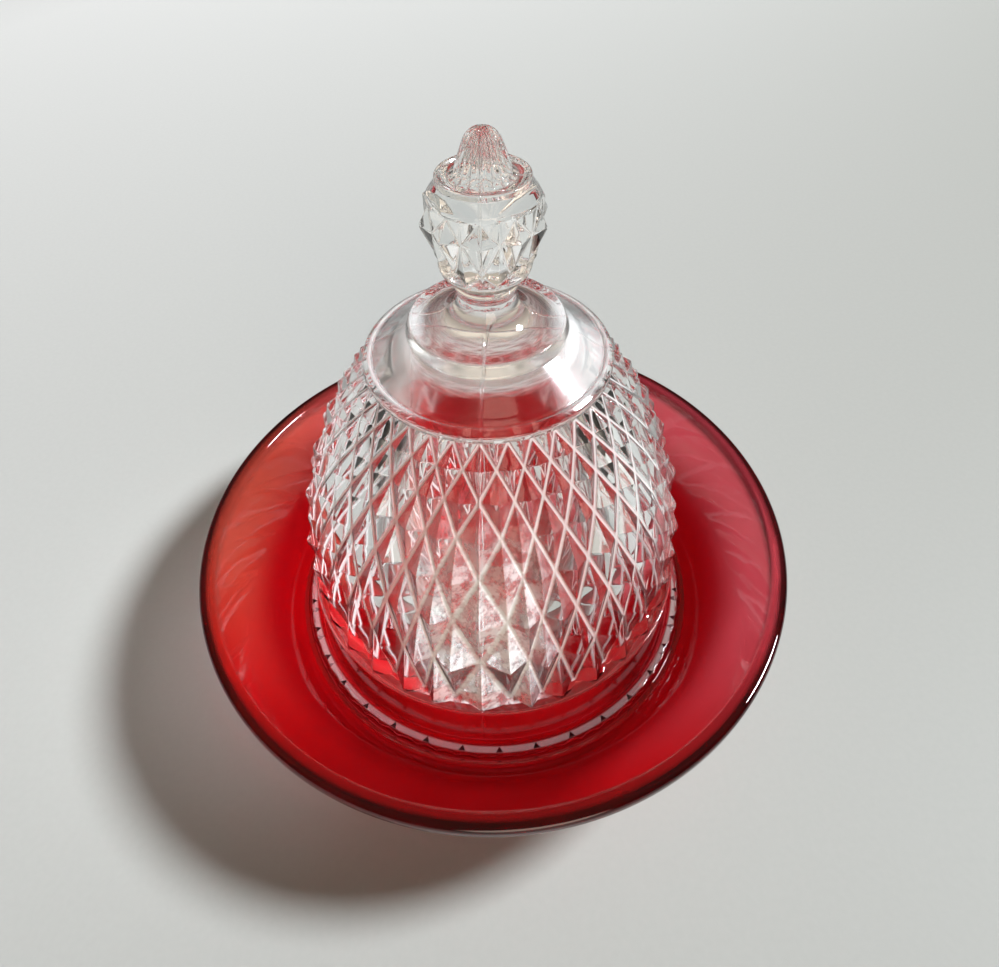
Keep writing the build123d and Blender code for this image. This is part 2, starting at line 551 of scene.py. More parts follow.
@dataclass(frozen=True)
class TableTop:
    """Pale laminate with a matt, faintly mottled print coat, which keeps shadows soft and plain, and painted
    light: lighter towards one corner, darker towards the other.
    """

    name: str = "matt_pale_laminate"
    light: str = "#EEF0ED"
    # Painted light: the table is lighter towards one corner and darker towards the other.
    shade: str = "#989992"
    shade_way: tuple[float, float, float] = (-0.8, 0.5, 0.0)
    shade_between: Point = (0.7, -0.25)
    mottle_size: float = 2.0
    roughness: float = 0.6

    def material(self) -> bpy.types.Material:
        """Builds the node material.

        Returns:
            A matt pale surface with a slow change of tone and a fine mottle.
        """
        made = bpy.data.materials.new(self.name)
        made.use_nodes = True
        tree = made.node_tree
        tree.nodes.clear()
        place = add_node(tree, "ShaderNodeTexCoord").outputs["Object"]
        across = add_node(tree, "ShaderNodeVectorMath", place, self.shade_way, operation="DOT_PRODUCT")
        # Painted fall-off of light across the table.
        slow = add_node(tree, "ShaderNodeMapRange", across.outputs["Value"], *self.shade_between)
        fine = add_node(
            tree, "ShaderNodeTexNoise",
            sockets={"Vector": place, "Scale": 1 / (self.mottle_size * MM), "Detail": 2.0},
        )
        tone = add_node(
            tree, "ShaderNodeMix", data_type="RGBA",
            sockets={0: slow, 6: hex_linear(self.light), 7: hex_linear(self.shade)},
        ).outputs[2]
        mottle = add_node(tree, "ShaderNodeMapRange", fine, 0.3, 0.7, 0.975, 1.0)
        colour = add_node(
            tree, "ShaderNodeMix", data_type="RGBA", blend_type="MULTIPLY", sockets={0: 1.0, 6: tone, 7: mottle}
        )
        coat = add_node(
            tree, "ShaderNodeBsdfPrincipled",
            sockets={"Base Color": colour.outputs[2], "Roughness": self.roughness},
        )
        add_node(tree, "ShaderNodeOutputMaterial", coat)
        return made


# ---------------------------------------------------------------- geometry node trees


def group_inputs(tree: bpy.types.NodeTree, names: Iterable[tuple[str, str]]) -> bpy.types.Node:
    """Gives a geometry tree its geometry sockets and named inputs.

    Args:
        tree: The new geometry tree.
        names: Pairs of input name and socket type.

    Returns:
        The group input node.
    """
    face = tree.interface
    face.new_socket("Geometry", in_out="INPUT", socket_type="NodeSocketGeometry")
    for name, kind in names:
        face.new_socket(name, in_out="INPUT", socket_type=kind)
    face.new_socket("Geometry", in_out="OUTPUT", socket_type="NodeSocketGeometry")
    return tree.nodes.new("NodeGroupInput")


def set_inputs(modifier: bpy.types.Modifier, values: dict[str, Any]) -> None:
    """Sets a geometry modifier's inputs by the identifiers of their sockets.

    Args:
        modifier: The modifier, before it is first evaluated.
        values: Input name to value.
    """
    sockets = {
        item.name: item.identifier
        for item in modifier.node_group.interface.items_tree
        if item.item_type == "SOCKET" and item.in_out == "INPUT"
    }
    for name, value in values.items():
        modifier[sockets[name]] = value


def plain_mesh(obj: bpy.types.Object, name: str) -> bpy.types.Mesh:
    """Turns an object's evaluated geometry to a plain mesh and takes its modifiers off.

    Args:
        obj: The object with its modifiers.
        name: Name of the new mesh.

    Returns:
        The mesh.
    """
    bpy.context.view_layer.update()
    graph = bpy.context.evaluated_depsgraph_get()
    made = bpy.data.meshes.new_from_object(obj.evaluated_get(graph), depsgraph=graph)
    made.name = name
    obj.modifiers.clear()
    return made


@dataclass
class DiamondRelief:
    """Rows of pointed diamonds on a barrel or bell, whose tips lie on the CAD surface.

    The surface is an arc up to the waist, an upright belt and an arc above it. Rows get shorter upwards by one
    ratio, and the columns beside each mould seam are a little wider.
    """

    columns: int
    rows: int
    first_row: float
    row_ratio: float
    depth: float
    depth_ratio: float
    waist_radius: float
    waist_height: float
    run_below: float
    arc_below: float
    belt: float
    arc_above: float
    seam_angle: float
    seam_stretch: float
    seams: int = 4

    # How far the wider columns reach beside a seam, in half columns, and up the bell, in rows.
    SEAM_SPREAD = 2.0
    SEAM_ROWS = 9.0

    INPUTS = (
        ("Columns", "NodeSocketInt"), ("Rows", "NodeSocketInt"), ("First Row", "NodeSocketFloat"),
        ("Row Ratio", "NodeSocketFloat"), ("Depth", "NodeSocketFloat"), ("Depth Ratio", "NodeSocketFloat"),
        ("Waist Radius", "NodeSocketFloat"), ("Waist Height", "NodeSocketFloat"),
        ("Run Below", "NodeSocketFloat"), ("Arc Below", "NodeSocketFloat"), ("Belt", "NodeSocketFloat"),
        ("Arc Above", "NodeSocketFloat"), ("Seam Angle", "NodeSocketFloat"),
        ("Seam Stretch", "NodeSocketFloat"), ("Seams", "NodeSocketInt"), ("Material", "NodeSocketMaterial"),
    )

    def point_mesh(self) -> bpy.types.Mesh:
        """Makes one diamond point: a rhombus of four facets with rounded ridges, tip and valleys.

        Returns:
            A mesh one half column and one half row to each side, with heights from 0 in the valley to 1.
        """
        # Where the lines of points lie along a facet and from its tip down. The valleys are hollowed over the
        # last fifth, the ridges are a little blunted, and the tip is rubbed down.
        along = (0.0, 0.07, 0.93, 1.0)
        rings = (0.0, 0.07, 0.80, 0.87, 0.94, 1.0)
        valley, ridge, rubbed, ridge_start, ridge_end = 0.2, 0.018, 0.03, 4, 8
        bm = bmesh.new()
        corners = [(1, 0), (0, 1), (-1, 0), (0, -1)]
        for (ax, ay), (bx, by) in zip(corners, corners[1:] + corners[:1]):
            grid = []
            for ring in rings:
                row = []
                for t in along:
                    over = max(0.0, ring - (1 - valley))
                    height = 1 - ring + over * over / (2 * valley)
                    if t in (0.0, 1.0):
                        height -= ridge * min(1.0, ring * ridge_start) * min(1.0, (1 - ring) * ridge_end)
                    if ring == 0.0:
                        height -= rubbed
                    row.append(bm.verts.new((ring * (ax + (bx - ax) * t), ring * (ay + (by - ay) * t), height)))
                grid.append(row)
            for lower, upper in zip(grid, grid[1:]):
                for i in range(len(along) - 1):
                    bm.faces.new((lower[i], upper[i], upper[i + 1], lower[i + 1]))
        bmesh.ops.remove_doubles(bm, verts=bm.verts, dist=1e-5)
        bmesh.ops.dissolve_degenerate(bm, edges=bm.edges, dist=1e-6)
        mesh = bpy.data.meshes.new("diamond_point")
        bm.to_mesh(mesh)
        bm.free()
        return mesh

    @classmethod
    def tree(cls) -> bpy.types.NodeTree:
        """Builds the geometry tree: a staggered grid of points, wrapped round the barrel.

        Returns:
            The tree with its named inputs.
        """
        tree = bpy.data.node_groups.new("diamond_relief", "GeometryNodeTree")
        given = group_inputs(tree, cls.INPUTS).outputs
        known: dict[Any, Any] = {name: given[name] for name, _ in cls.INPUTS}

        # Staggered grid: even rows of tips start on the seam, odd rows half a column beside it.
        known["index"] = add_node(tree, "GeometryNodeInputIndex")
        for name, operation, *values in (
            ("lines", "ADD", "Rows", 1.0),
            ("count", "MULTIPLY", "Columns", "lines"),
            ("after", "ADD", "index", 0.5),
            ("after", "DIVIDE", "after", "Columns"),
            ("line", "FLOOR", "after"),
            ("before", "MULTIPLY", "line", "Columns"),
            ("step", "SUBTRACT", "index", "before"),
            ("odd", "MODULO", "line", 2.0),
            ("column", "MULTIPLY", "step", 2.0),
            ("column", "ADD", "column", "odd"),
        ):
            known[name] = add_node(
                tree, "ShaderNodeMath", *(known.get(value, value) for value in values), operation=operation
            )
        spot = add_node(tree, "ShaderNodeCombineXYZ", known["column"], known["line"], 0.0)
        points = add_node(tree, "GeometryNodePoints", known["count"], spot)
        placed = add_node(
            tree, "GeometryNodeInstanceOnPoints", points, sockets={"Instance": given["Geometry"]}
        )
        flat = add_node(tree, "GeometryNodeRealizeInstances", placed)

        # The first and last rows keep only the halves inside the relief.
        middle = add_node(tree, "ShaderNodeSeparateXYZ", add_node(tree, "GeometryNodeInputPosition")).outputs["Y"]
        under = add_node(tree, "ShaderNodeMath", middle, 0.0, operation="LESS_THAN")
        over = add_node(tree, "ShaderNodeMath", middle, given["Rows"], operation="GREATER_THAN")
        outside = add_node(tree, "ShaderNodeMath", under, over, operation="ADD")
        kept = add_node(tree, "GeometryNodeDeleteGeometry", flat, outside, domain="FACE", mode="ALL")
        joined = add_node(tree, "GeometryNodeMergeByDistance", kept, sockets={"Distance": 1e-3})

        # Where a point of the flat sheet goes: its angle round the axis, its way up the surface, how far the
        # surface leans there, and how deep the point lies below it.
        place = add_node(tree, "ShaderNodeSeparateXYZ", add_node(tree, "GeometryNodeInputPosition"))
        known["u"], known["v"], known["h"] = place.outputs
        for name, operation, *values in (
            ("period", "MULTIPLY", "Columns", 2.0),
            ("period", "DIVIDE", "period", "Seams"),
            ("half", "DIVIDE", "period", 2.0),
            ("near", "ADD", "u", "half"),
            ("near", "FLOORED_MODULO", "near", "period"),
            ("near", "SUBTRACT", "near", "half"),
            ("bell", "MULTIPLY", "near", "near"),
            ("bell", "MULTIPLY", "bell", -1 / cls.SEAM_SPREAD**2),
            ("bell", "EXPONENT", "bell"),
            ("fade", "DIVIDE", "v", cls.SEAM_ROWS),
            ("fade", "SUBTRACT", 1.0, "fade"),
            ("pull", "MULTIPLY", "Seam Stretch", "fade"),
            ("pull", "MULTIPLY", "pull", "near"),
            ("pull", "MULTIPLY", "pull", "bell"),
            ("bent", "ADD", "u", "pull"),
            ("pitch", "DIVIDE", math.pi, "Columns"),
            ("turn", "MULTIPLY", "bent", "pitch"),
            ("angle", "ADD", "turn", "Seam Angle"),
            ("power", "POWER", "Row Ratio", "v"),
            ("power", "SUBTRACT", 1.0, "power"),
            ("share", "SUBTRACT", 1.0, "Row Ratio"),
            ("gone", "DIVIDE", "power", "share"),
            ("run", "MULTIPLY", "First Row", "gone"),
            ("run", "SUBTRACT", "run", "Run Below"),
            ("below", "MINIMUM", "run", 0.0),
            ("above", "SUBTRACT", "run", "Belt"),
            ("above", "MAXIMUM", "above", 0.0),
            ("upright", "MINIMUM", "run", "Belt"),
            ("upright", "MAXIMUM", "upright", 0.0),
            ("lean below", "DIVIDE", "below", "Arc Below"),
            ("lean above", "DIVIDE", "above", "Arc Above"),
            ("lean", "ADD", "lean below", "lean above"),
            ("rise below", "SINE", "lean below"),
            ("rise below", "MULTIPLY", "rise below", "Arc Below"),
            ("rise above", "SINE", "lean above"),
            ("rise above", "MULTIPLY", "rise above", "Arc Above"),
            ("fall below", "COSINE", "lean below"),
            ("fall below", "SUBTRACT", 1.0, "fall below"),
            ("fall below", "MULTIPLY", "fall below", "Arc Below"),
            ("fall above", "COSINE", "lean above"),
            ("fall above", "SUBTRACT", 1.0, "fall above"),
            ("fall above", "MULTIPLY", "fall above", "Arc Above"),
            ("radius", "SUBTRACT", "Waist Radius", "fall below"),
            ("radius", "SUBTRACT", "radius", "fall above"),
            ("height", "ADD", "Waist Height", "upright"),
            ("rise", "ADD", "rise below", "rise above"),
            ("height", "ADD", "height", "rise"),
            ("reach", "POWER", "Depth Ratio", "v"),
            ("reach", "MULTIPLY", "Depth", "reach"),
            ("sink", "SUBTRACT", "h", 1.0),
            ("sink", "MULTIPLY", "sink", "reach"),
            ("inward", "COSINE", "lean"),
            ("inward", "MULTIPLY", "sink", "inward"),
            ("radius", "ADD", "radius", "inward"),
            ("upward", "SINE", "lean"),
            ("upward", "MULTIPLY", "sink", "upward"),
            ("height", "ADD", "height", "upward"),
            ("x", "COSINE", "angle"),
            ("x", "MULTIPLY", "radius", "x"),
            ("y", "SINE", "angle"),
            ("y", "MULTIPLY", "radius", "y"),
        ):
            known[name] = add_node(
                tree, "ShaderNodeMath", *(known.get(value, value) for value in values), operation=operation
            )
        wrapped = add_node(tree, "ShaderNodeCombineXYZ", known["x"], known["y"], known["height"])
        depth = add_node(tree, "ShaderNodeMapRange", known["h"], 0.0, 1.0, 1.0, 0.2)
        marked = add_node(
            tree, "GeometryNodeStoreNamedAttribute", joined, data_type="FLOAT", domain="POINT",
            sockets={"Name": "relief", "Value": depth},
        )
        moved = add_node(tree, "GeometryNodeSetPosition", marked, sockets={"Position": wrapped})
        closed = add_node(tree, "GeometryNodeMergeByDistance", moved, sockets={"Distance": 2e-6})
        whole = add_node(tree, "GeometryNodeRealizeInstances", closed)
        coated = add_node(tree, "GeometryNodeSetMaterial", whole, sockets={"Material": given["Material"]})
        add_node(tree, "NodeGroupOutput", coated)
        return tree

    def mesh(self, name: str, tree: bpy.types.NodeTree, finish: bpy.types.Material) -> bpy.types.Mesh:
        """Makes the relief as a plain mesh, open at its first and last rows.

        Args:
            name: Name of the mesh.
            tree: The relief's geometry tree.
            finish: Its glass.

        Returns:
            The mesh, in metres.
        """
        holder = bpy.data.objects.new(name, self.point_mesh())
        bpy.context.scene.collection.objects.link(holder)
        modifier = holder.modifiers.new("relief", "NODES")
        modifier.node_group = tree
        set_inputs(modifier, {
            "Columns": self.columns, "Rows": self.rows, "First Row": self.first_row * MM,
            "Row Ratio": self.row_ratio, "Depth": self.depth * MM, "Depth Ratio": self.depth_ratio,
            "Waist Radius": self.waist_radius * MM, "Waist Height": self.waist_height * MM,
            "Run Below": self.run_below * MM, "Arc Below": self.arc_below * MM, "Belt": self.belt * MM,
            "Arc Above": self.arc_above * MM, "Seam Angle": self.seam_angle,
            "Seam Stretch": self.seam_stretch, "Seams": self.seams, "Material": finish,
        })
        made = plain_mesh(holder, name)
        bpy.data.objects.remove(holder)
        return made


@dataclass
class Ripple:
    """A ring of even lobes or flutes worked into part of a turned surface."""

    count: int
    depth: float
    low: float
    high: float
    blend: float
    inside: float
    outside: float
    angle: float = 0.0
    underside: float = 0.0

    INPUTS = (
        ("Count", "NodeSocketInt"), ("Depth", "NodeSocketFloat"), ("Low", "NodeSocketFloat"),
        ("High", "NodeSocketFloat"), ("Blend", "NodeSocketFloat"), ("Inside", "NodeSocketFloat"),
        ("Outside", "NodeSocketFloat"), ("Angle", "NodeSocketFloat"), ("Underside", "NodeSocketFloat"),
        ("Material", "NodeSocketMaterial"),
    )

    @classmethod
    def tree(cls) -> bpy.types.NodeTree:
        """Builds the geometry tree: points move out or in by a wave round the axis.

        Returns:
            The tree with its named inputs.
        """
        tree = bpy.data.node_groups.new("radial_ripple", "GeometryNodeTree")
        given = group_inputs(tree, cls.INPUTS).outputs
        known: dict[Any, Any] = {name: given[name] for name, _ in cls.INPUTS}
        place = add_node(tree, "ShaderNodeSeparateXYZ", add_node(tree, "GeometryNodeInputPosition"))
        known["x"], known["y"], known["z"] = place.outputs
        normal = add_node(tree, "ShaderNodeSeparateXYZ", add_node(tree, "GeometryNodeInputNormal"))
        known["normal z"] = normal.outputs["Z"]
        for name, operation, *values in (
            ("radius", "MULTIPLY", "x", "x"),
            ("y squared", "MULTIPLY", "y", "y"),
            ("radius", "ADD", "radius", "y squared"),
            ("radius", "SQRT", "radius"),
            ("turn", "ARCTAN2", "y", "x"),
            ("turn", "SUBTRACT", "turn", "Angle"),
            ("half count", "MULTIPLY", "Count", 0.5),
            ("wave", "MULTIPLY", "turn", "half count"),
            ("wave", "SINE", "wave"),
            ("wave", "ABSOLUTE", "wave"),
            ("start", "ADD", "Low", "Blend"),
            ("stop", "SUBTRACT", "High", "Blend"),
            ("inner", "GREATER_THAN", "radius", "Inside"),
            ("outer", "LESS_THAN", "radius", "Outside"),
            ("ring", "MULTIPLY", "inner", "outer"),
            ("facing", "MULTIPLY", "normal z", "Underside"),
            ("facing", "LESS_THAN", "facing", 0.001),
        ):
            known[name] = add_node(
                tree, "ShaderNodeMath", *(known.get(value, value) for value in values), operation=operation
            )
        known["rise"], known["fall"] = (
            add_node(tree, "ShaderNodeMapRange", known["z"], *limits, interpolation_type="SMOOTHSTEP")
            for limits in ((given["Low"], known["start"], 0.0, 1.0), (known["stop"], given["High"], 1.0, 0.0))
        )
        for name, operation, *values in (
            ("mask", "MULTIPLY", "rise", "fall"),
            ("mask", "MULTIPLY", "mask", "ring"),
            ("mask", "MULTIPLY", "mask", "facing"),
            ("size", "MULTIPLY", "wave", "mask"),
            ("size", "MULTIPLY", "size", "Depth"),
            ("least", "MAXIMUM", "radius", 1e-6),
            ("ratio", "DIVIDE", "size", "least"),
            ("outward x", "MULTIPLY", "x", "ratio"),
            ("outward y", "MULTIPLY", "y", "ratio"),
        ):
            known[name] = add_node(
                tree, "ShaderNodeMath", *(known.get(value, value) for value in values), operation=operation
            )
        offset = add_node(tree, "ShaderNodeCombineXYZ", known["outward x"], known["outward y"], 0.0)
        moved = add_node(tree, "GeometryNodeSetPosition", given["Geometry"], sockets={"Offset": offset})
        whole = add_node(tree, "GeometryNodeRealizeInstances", moved)
        coated = add_node(tree, "GeometryNodeSetMaterial", whole, sockets={"Material": given["Material"]})
        add_node(tree, "NodeGroupOutput", coated)
        return tree

    def press(self, obj: bpy.types.Object, tree: bpy.types.NodeTree, finish: bpy.types.Material) -> None:
        """Adds the ripple to an object as a modifier.

        Args:
            obj: The piece it is pressed into.
            tree: The ripple's geometry tree.
            finish: Its glass.
        """
        modifier = obj.modifiers.new("ripple", "NODES")
        modifier.node_group = tree
        set_inputs(modifier, {
            "Count": self.count, "Depth": self.depth * MM, "Low": self.low * MM, "High": self.high * MM,
            "Blend": self.blend * MM, "Inside": self.inside * MM, "Outside": self.outside * MM,
            "Angle": self.angle, "Underside": self.underside, "Material": finish,
        })


# ---------------------------------------------------------------- turned shells


def rounded(corners: Sequence[Corner], steps: int = 4) -> list[Point]:
    """Rounds the corners of an open outline.

    Args:
        corners: Radius, height and rounding of each corner.
        steps: Spans in each rounding.

    Returns:
        Radius and height of every point.
    """
    outline: list[Point] = []
    for i, (x, z, rounding) in enumerate(corners):
        here = Vector((x, z))
        if rounding <= 0 or i in (0, len(corners) - 1):
            outline.append((x, z))
            continue
        back = (Vector(corners[i - 1][:2]) - here).normalized()
        ahead = (Vector(corners[i + 1][:2]) - here).normalized()
        half = back.angle(ahead) / 2
        centre = here + (back + ahead).normalized() * rounding / math.sin(half)
        start = here + back * rounding / math.tan(half)
        sweep = (start - centre).angle_signed(here + ahead * rounding / math.tan(half) - centre)
        for k in range(steps + 1):
            turned = Matrix.Rotation(-sweep * k / steps, 2) @ (start - centre)
            outline.append(tuple(centre + turned))
    return outline


def arc(centre: Point, radius: float, start: float, stop: float, spans: int) -> list[Point]:
    """Gives points on a circular arc of the outline.

    Args:
        centre: Its centre as radius and height.
        radius: Its radius.
        start: Angle of its first point, in radians.
        stop: Angle of its last point.
        spans: How many spans it has.

    Returns:
        Radius and height of every point.
    """
    angles = [start + (stop - start) * k / spans for k in range(spans + 1)]
    return [(centre[0] + radius * math.cos(a), centre[1] + radius * math.sin(a)) for a in angles]


class TurnedShell:
    """A glass shell put together from rings round the axis, closed at its poles."""

    def __init__(self, segments: int = 256) -> None:
        """Starts an empty shell.

        Args:
            segments: Points in each ring.
        """
        self.bm = bmesh.new()
        self.segments = segments

    def ring(self, radius: float, height: float, segments: int | None = None) -> list[bmesh.types.BMVert]:
        """Adds the points of one ring and returns them."""
        count = segments or self.segments
        turns = [2 * math.pi * k / count - math.pi for k in range(count)]
        return [
            self.bm.verts.new((radius * MM * math.cos(a), radius * MM * math.sin(a), height * MM)) for a in turns
        ]

    def stitch(self, first: list[bmesh.types.BMVert], second: list[bmesh.types.BMVert]) -> None:
        """Joins two rings, which may have different numbers of points.

        Args:
            first: One ring, in order of angle.
            second: The other ring, in order of angle.
        """
        n, m = len(first), len(second)
        if n == m and all(abs(turn_of(a) - turn_of(b)) < 1e-4 for a, b in zip(first, second)):
            for k in range(n):
                self.bm.faces.new((first[k], first[(k + 1) % n], second[(k + 1) % m], second[k]))
            return
        i = j = 0
        while i < n or j < m:
            next_i = turn_of(first[i + 1]) if i + 1 < n else turn_of(first[0]) + 2 * math.pi
            next_j = turn_of(second[j + 1]) if j + 1 < m else turn_of(second[0]) + 2 * math.pi
            if j >= m or (i < n and next_i <= next_j):
                self.bm.faces.new((first[i % n], first[(i + 1) % n], second[j % m]))
                i += 1
            else:
                self.bm.faces.new((first[i % n], second[(j + 1) % m], second[j % m]))
                j += 1

    def run(
        self, start: list[bmesh.types.BMVert] | None, outline: Sequence[Point], segments: int | None = None
    ) -> list[bmesh.types.BMVert]:
        """Adds a ring for each point of an outline and joins them in order.

        Args:
            start: The ring to go on from, or None.
            outline: Radius and height of each ring.
            segments: Points in each ring, if not the shell's own number.

        Returns:
            The last ring.
        """
        last = start
        for radius, height in outline:
            new = self.ring(radius, height, segments)
            if last is not None:
                self.stitch(last, new)
            last = new
        return last

    def pole(self, ring: list[bmesh.types.BMVert], height: float) -> None:
        """Closes a ring with one point on the axis."""
        tip = self.bm.verts.new((0.0, 0.0, height * MM))
        for k in range(len(ring)):
            self.bm.faces.new((ring[k], ring[(k + 1) % len(ring)], tip))

    def insert(self, mesh: bpy.types.Mesh) -> tuple[list[bmesh.types.BMVert], list[bmesh.types.BMVert]]:
        """Takes in a relief mesh.

        Args:
            mesh: A band open at the bottom and the top.

        Returns:
            Its bottom and top rings, in order of angle.
        """
        before = set(self.bm.verts)
        self.bm.from_mesh(mesh)
        bpy.data.meshes.remove(mesh)
        edge = {v for v in self.bm.verts if v not in before and v.is_boundary}
        middle = sum(v.co.z for v in edge) / len(edge)
        rings = [[v for v in edge if v.co.z < middle], [v for v in edge if v.co.z >= middle]]
        return tuple(sorted(ring, key=turn_of) for ring in rings)

    def mesh(self, name: str) -> bpy.types.Mesh:
        """Closes the shell and turns every face outwards.

        Args:
            name: Name of the mesh.

        Returns:
            The mesh.
        """
        bmesh.ops.remove_doubles(self.bm, verts=self.bm.verts, dist=1e-7)
        bmesh.ops.recalc_face_normals(self.bm, faces=self.bm.faces)
        open_edges = sum(not e.is_manifold for e in self.bm.edges)
        if self.bm.calc_volume(signed=True) < 0:
            bmesh.ops.reverse_faces(self.bm, faces=self.bm.faces)
        LOG.info("%s: %d faces, %d open edges", name, len(self.bm.faces), open_edges)
        mesh = bpy.data.meshes.new(name)
        self.bm.to_mesh(mesh)
        self.bm.free()
        return mesh


def turn_of(vert: bmesh.types.BMVert) -> float:
    """Gives a point's angle round the axis, in radians from -pi to pi."""
    angle = math.atan2(vert.co.y, vert.co.x)
    return angle - 2 * math.pi if angle > math.pi - 1e-5 else angle


def finish_piece(
    mesh: bpy.types.Mesh, name: str, finish: bpy.types.Material, ripples: Sequence[Ripple],
    ripple_tree: bpy.types.NodeTree, body: Body, slot: Slot,
) -> bpy.types.Object:
    """Makes a shell a finished piece that stands for its CAD node.

    Args:
        mesh: The closed shell.
        name: Name of the piece.
        finish: Its glass.
        ripples: Lobes and flutes pressed into it.
        ripple_tree: Their geometry tree.
        body: The body it rides on.
        slot: The record's material slot.

    Returns:
        The piece.
    """
    mesh.materials.clear()
    mesh.materials.append(finish)
    raw = bpy.data.objects.new(name + "_raw", mesh)
    bpy.context.scene.collection.objects.link(raw)
    for ripple in ripples:
        ripple.press(raw, ripple_tree, finish)
    made = plain_mesh(raw, name)
    bpy.data.objects.remove(raw)
    made.shade_smooth()
    piece = bpy.data.objects.new(name, made)
    # Lamp light passes the clear glass, and the ruby glass doesn't redden the table or the clear glass's painted
    # highlights.
    piece.visible_shadow = slot is not Slot.CLEAR
    piece.visible_diffuse = slot is not Slot.RUBY
    bpy.context.scene.collection.objects.link(piece)
    weighted = piece.modifiers.new("weighted", "WEIGHTED_NORMAL")
    weighted.weight = 50
    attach(piece, body.value)
    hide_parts(body.value)
    LOG.info("%s rides on %s", name, body.value)
    return piece


# ---------------------------------------------------------------- the two pieces


@dataclass
class Plate:
    """The flared plate: foot ring, flat floor, collar for the lid, steep wall and broad brim."""

    foot_inner: float = 50.0
    foot_outer: float = 56.0
    foot_height: float = 2.5
    floor_height: float = 8.0
    collar_inner: float = 60.0
    collar_outer: float = 63.6
    collar_height: float = 12.0
    gutter_outer: float = 65.8
    gutter_height: float = 9.4
    bend: Point = (72.8, 21.9)
    wall_under: Point = (76.81, 19.65)
    rim_width: float = 4.6
    rim_lip: float = 3.4
    corner: float = 0.8
    wall_blend: float = 7.0
    rim_rounding: float = 1.5
    pole_ring: float = 0.4
    # Red film on pressed glass. It is painted deepest in the well, a painted shade for light that passes it twice
    # there, and painted deeper in front and on the floor.
    # It is painted warm and milky on the left as if lit, and near black at the rim, where pooled stain meets
    # painted shade.
    finish: PressedGlass = field(default_factory=lambda: PressedGlass(
        name="ruby_stained_pressed_soda_lime_glass", stain="#FA6070", clear_ring=(61.0, 62.7),
        well_shade_between=(84.0, 72.0), rim_shade_between=(88.8, 90.0), passed=0.85, passed_stained=0.86,
    ))

    def marks(self) -> list[Ripple]:
        """Describes the pressed marks: lobes under the wall, faint waves on it, and beads round the collar."""
        return [
            Ripple(count=48, depth=-0.7, low=5.0, high=17.0, blend=2.0, inside=66.0, outside=76.0, underside=1.0),
            Ripple(
                count=56, depth=-0.35, low=11.0, high=21.5, blend=2.5, inside=66.5, outside=74.5, underside=-1.0
            ),
            Ripple(count=64, depth=-0.6, low=9.8, high=12.8, blend=0.5, inside=62.4, outside=64.4),
        ]

    def build(self, rim: Point, ripple_tree: bpy.types.NodeTree) -> bpy.types.Object:
        """Builds the plate.

        Args:
            rim: The rim's radius and height.
            ripple_tree: Geometry tree of the pressed marks.

        Returns:
            The finished piece.
        """
        radius, height = rim
        outline = rounded([
            (self.pole_ring, self.foot_height, 0),
            (self.foot_inner, self.foot_height, self.corner),
            (self.foot_inner, 0, self.corner),
            (self.foot_outer, 0, self.corner),
            (self.foot_outer, self.foot_height, self.corner),
            (self.collar_outer, self.foot_height, self.wall_blend),
            (*self.wall_under, self.wall_blend),
            (radius, height - self.rim_lip, self.rim_rounding),
            (radius, height, self.rim_rounding),
            (radius - self.rim_width, height, self.rim_rounding),
            (*self.bend, self.wall_blend),
            (self.gutter_outer, self.gutter_height, self.corner),
            (self.collar_outer, self.gutter_height, self.corner),
            (self.collar_outer, self.collar_height, self.corner),
            (self.collar_inner, self.collar_height, self.corner),
            (self.collar_inner, self.floor_height, self.corner),
            (self.pole_ring, self.floor_height, 0),
        ])
        shell = TurnedShell()
        under = shell.ring(*outline[0])
        over = shell.run(under, outline[1:])
        shell.pole(under, self.foot_height)
        shell.pole(over, self.floor_height)
        return finish_piece(
            shell.mesh("plate_glass"), "plate_glass", self.finish.material(), self.marks(), ripple_tree,
            Body.PLATE, Slot.RUBY,
        )


